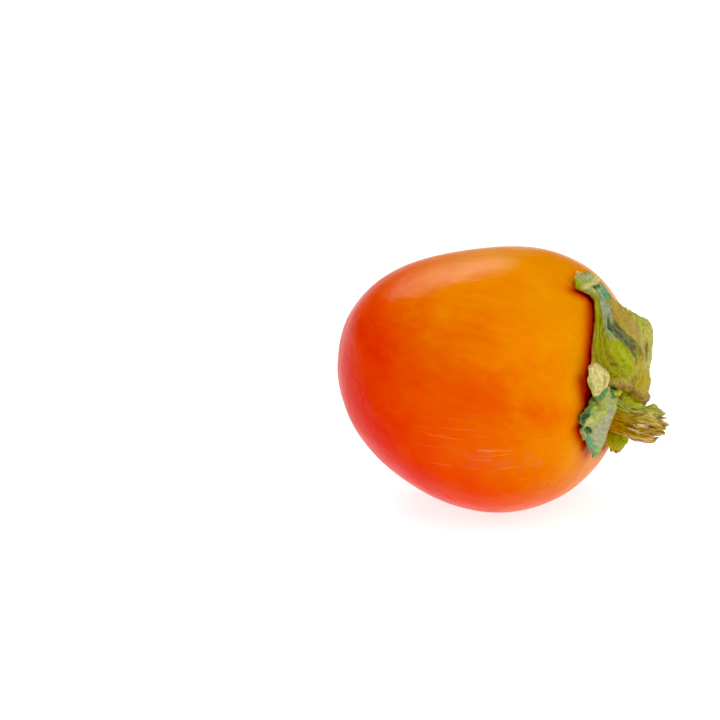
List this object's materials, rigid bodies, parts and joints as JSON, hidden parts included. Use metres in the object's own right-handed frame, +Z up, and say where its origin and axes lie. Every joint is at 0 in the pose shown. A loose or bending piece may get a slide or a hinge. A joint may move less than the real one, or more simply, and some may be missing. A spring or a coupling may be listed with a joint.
{
  "type": "persimmon",
  "caption": "Whole ripe oblong persimmon lying on its side, with its leathery lobed calyx, a short woody stalk stub and the dry style tip.",
  "frame": {"origin": "middle of the small flat spot that the fruit rests on", "axes": "+Z up, +X along the fruit's length in plan, from the blossom end towards the calyx and stalk"},
  "size_m": [0.0993, 0.0752, 0.0737],
  "materials": {
    "skin": "smooth waxy satin",
    "calyx": "dry, crumpled and veined",
    "stalk_wood": "rough and fibrous",
    "style": "dry and dark"
  },
  "bodies": {
    "root": {"fruit_body": "skin", "calyx": "calyx", "stalk_stub": "stalk_wood", "style_tip": "style"}
  },
  "joints": []
}
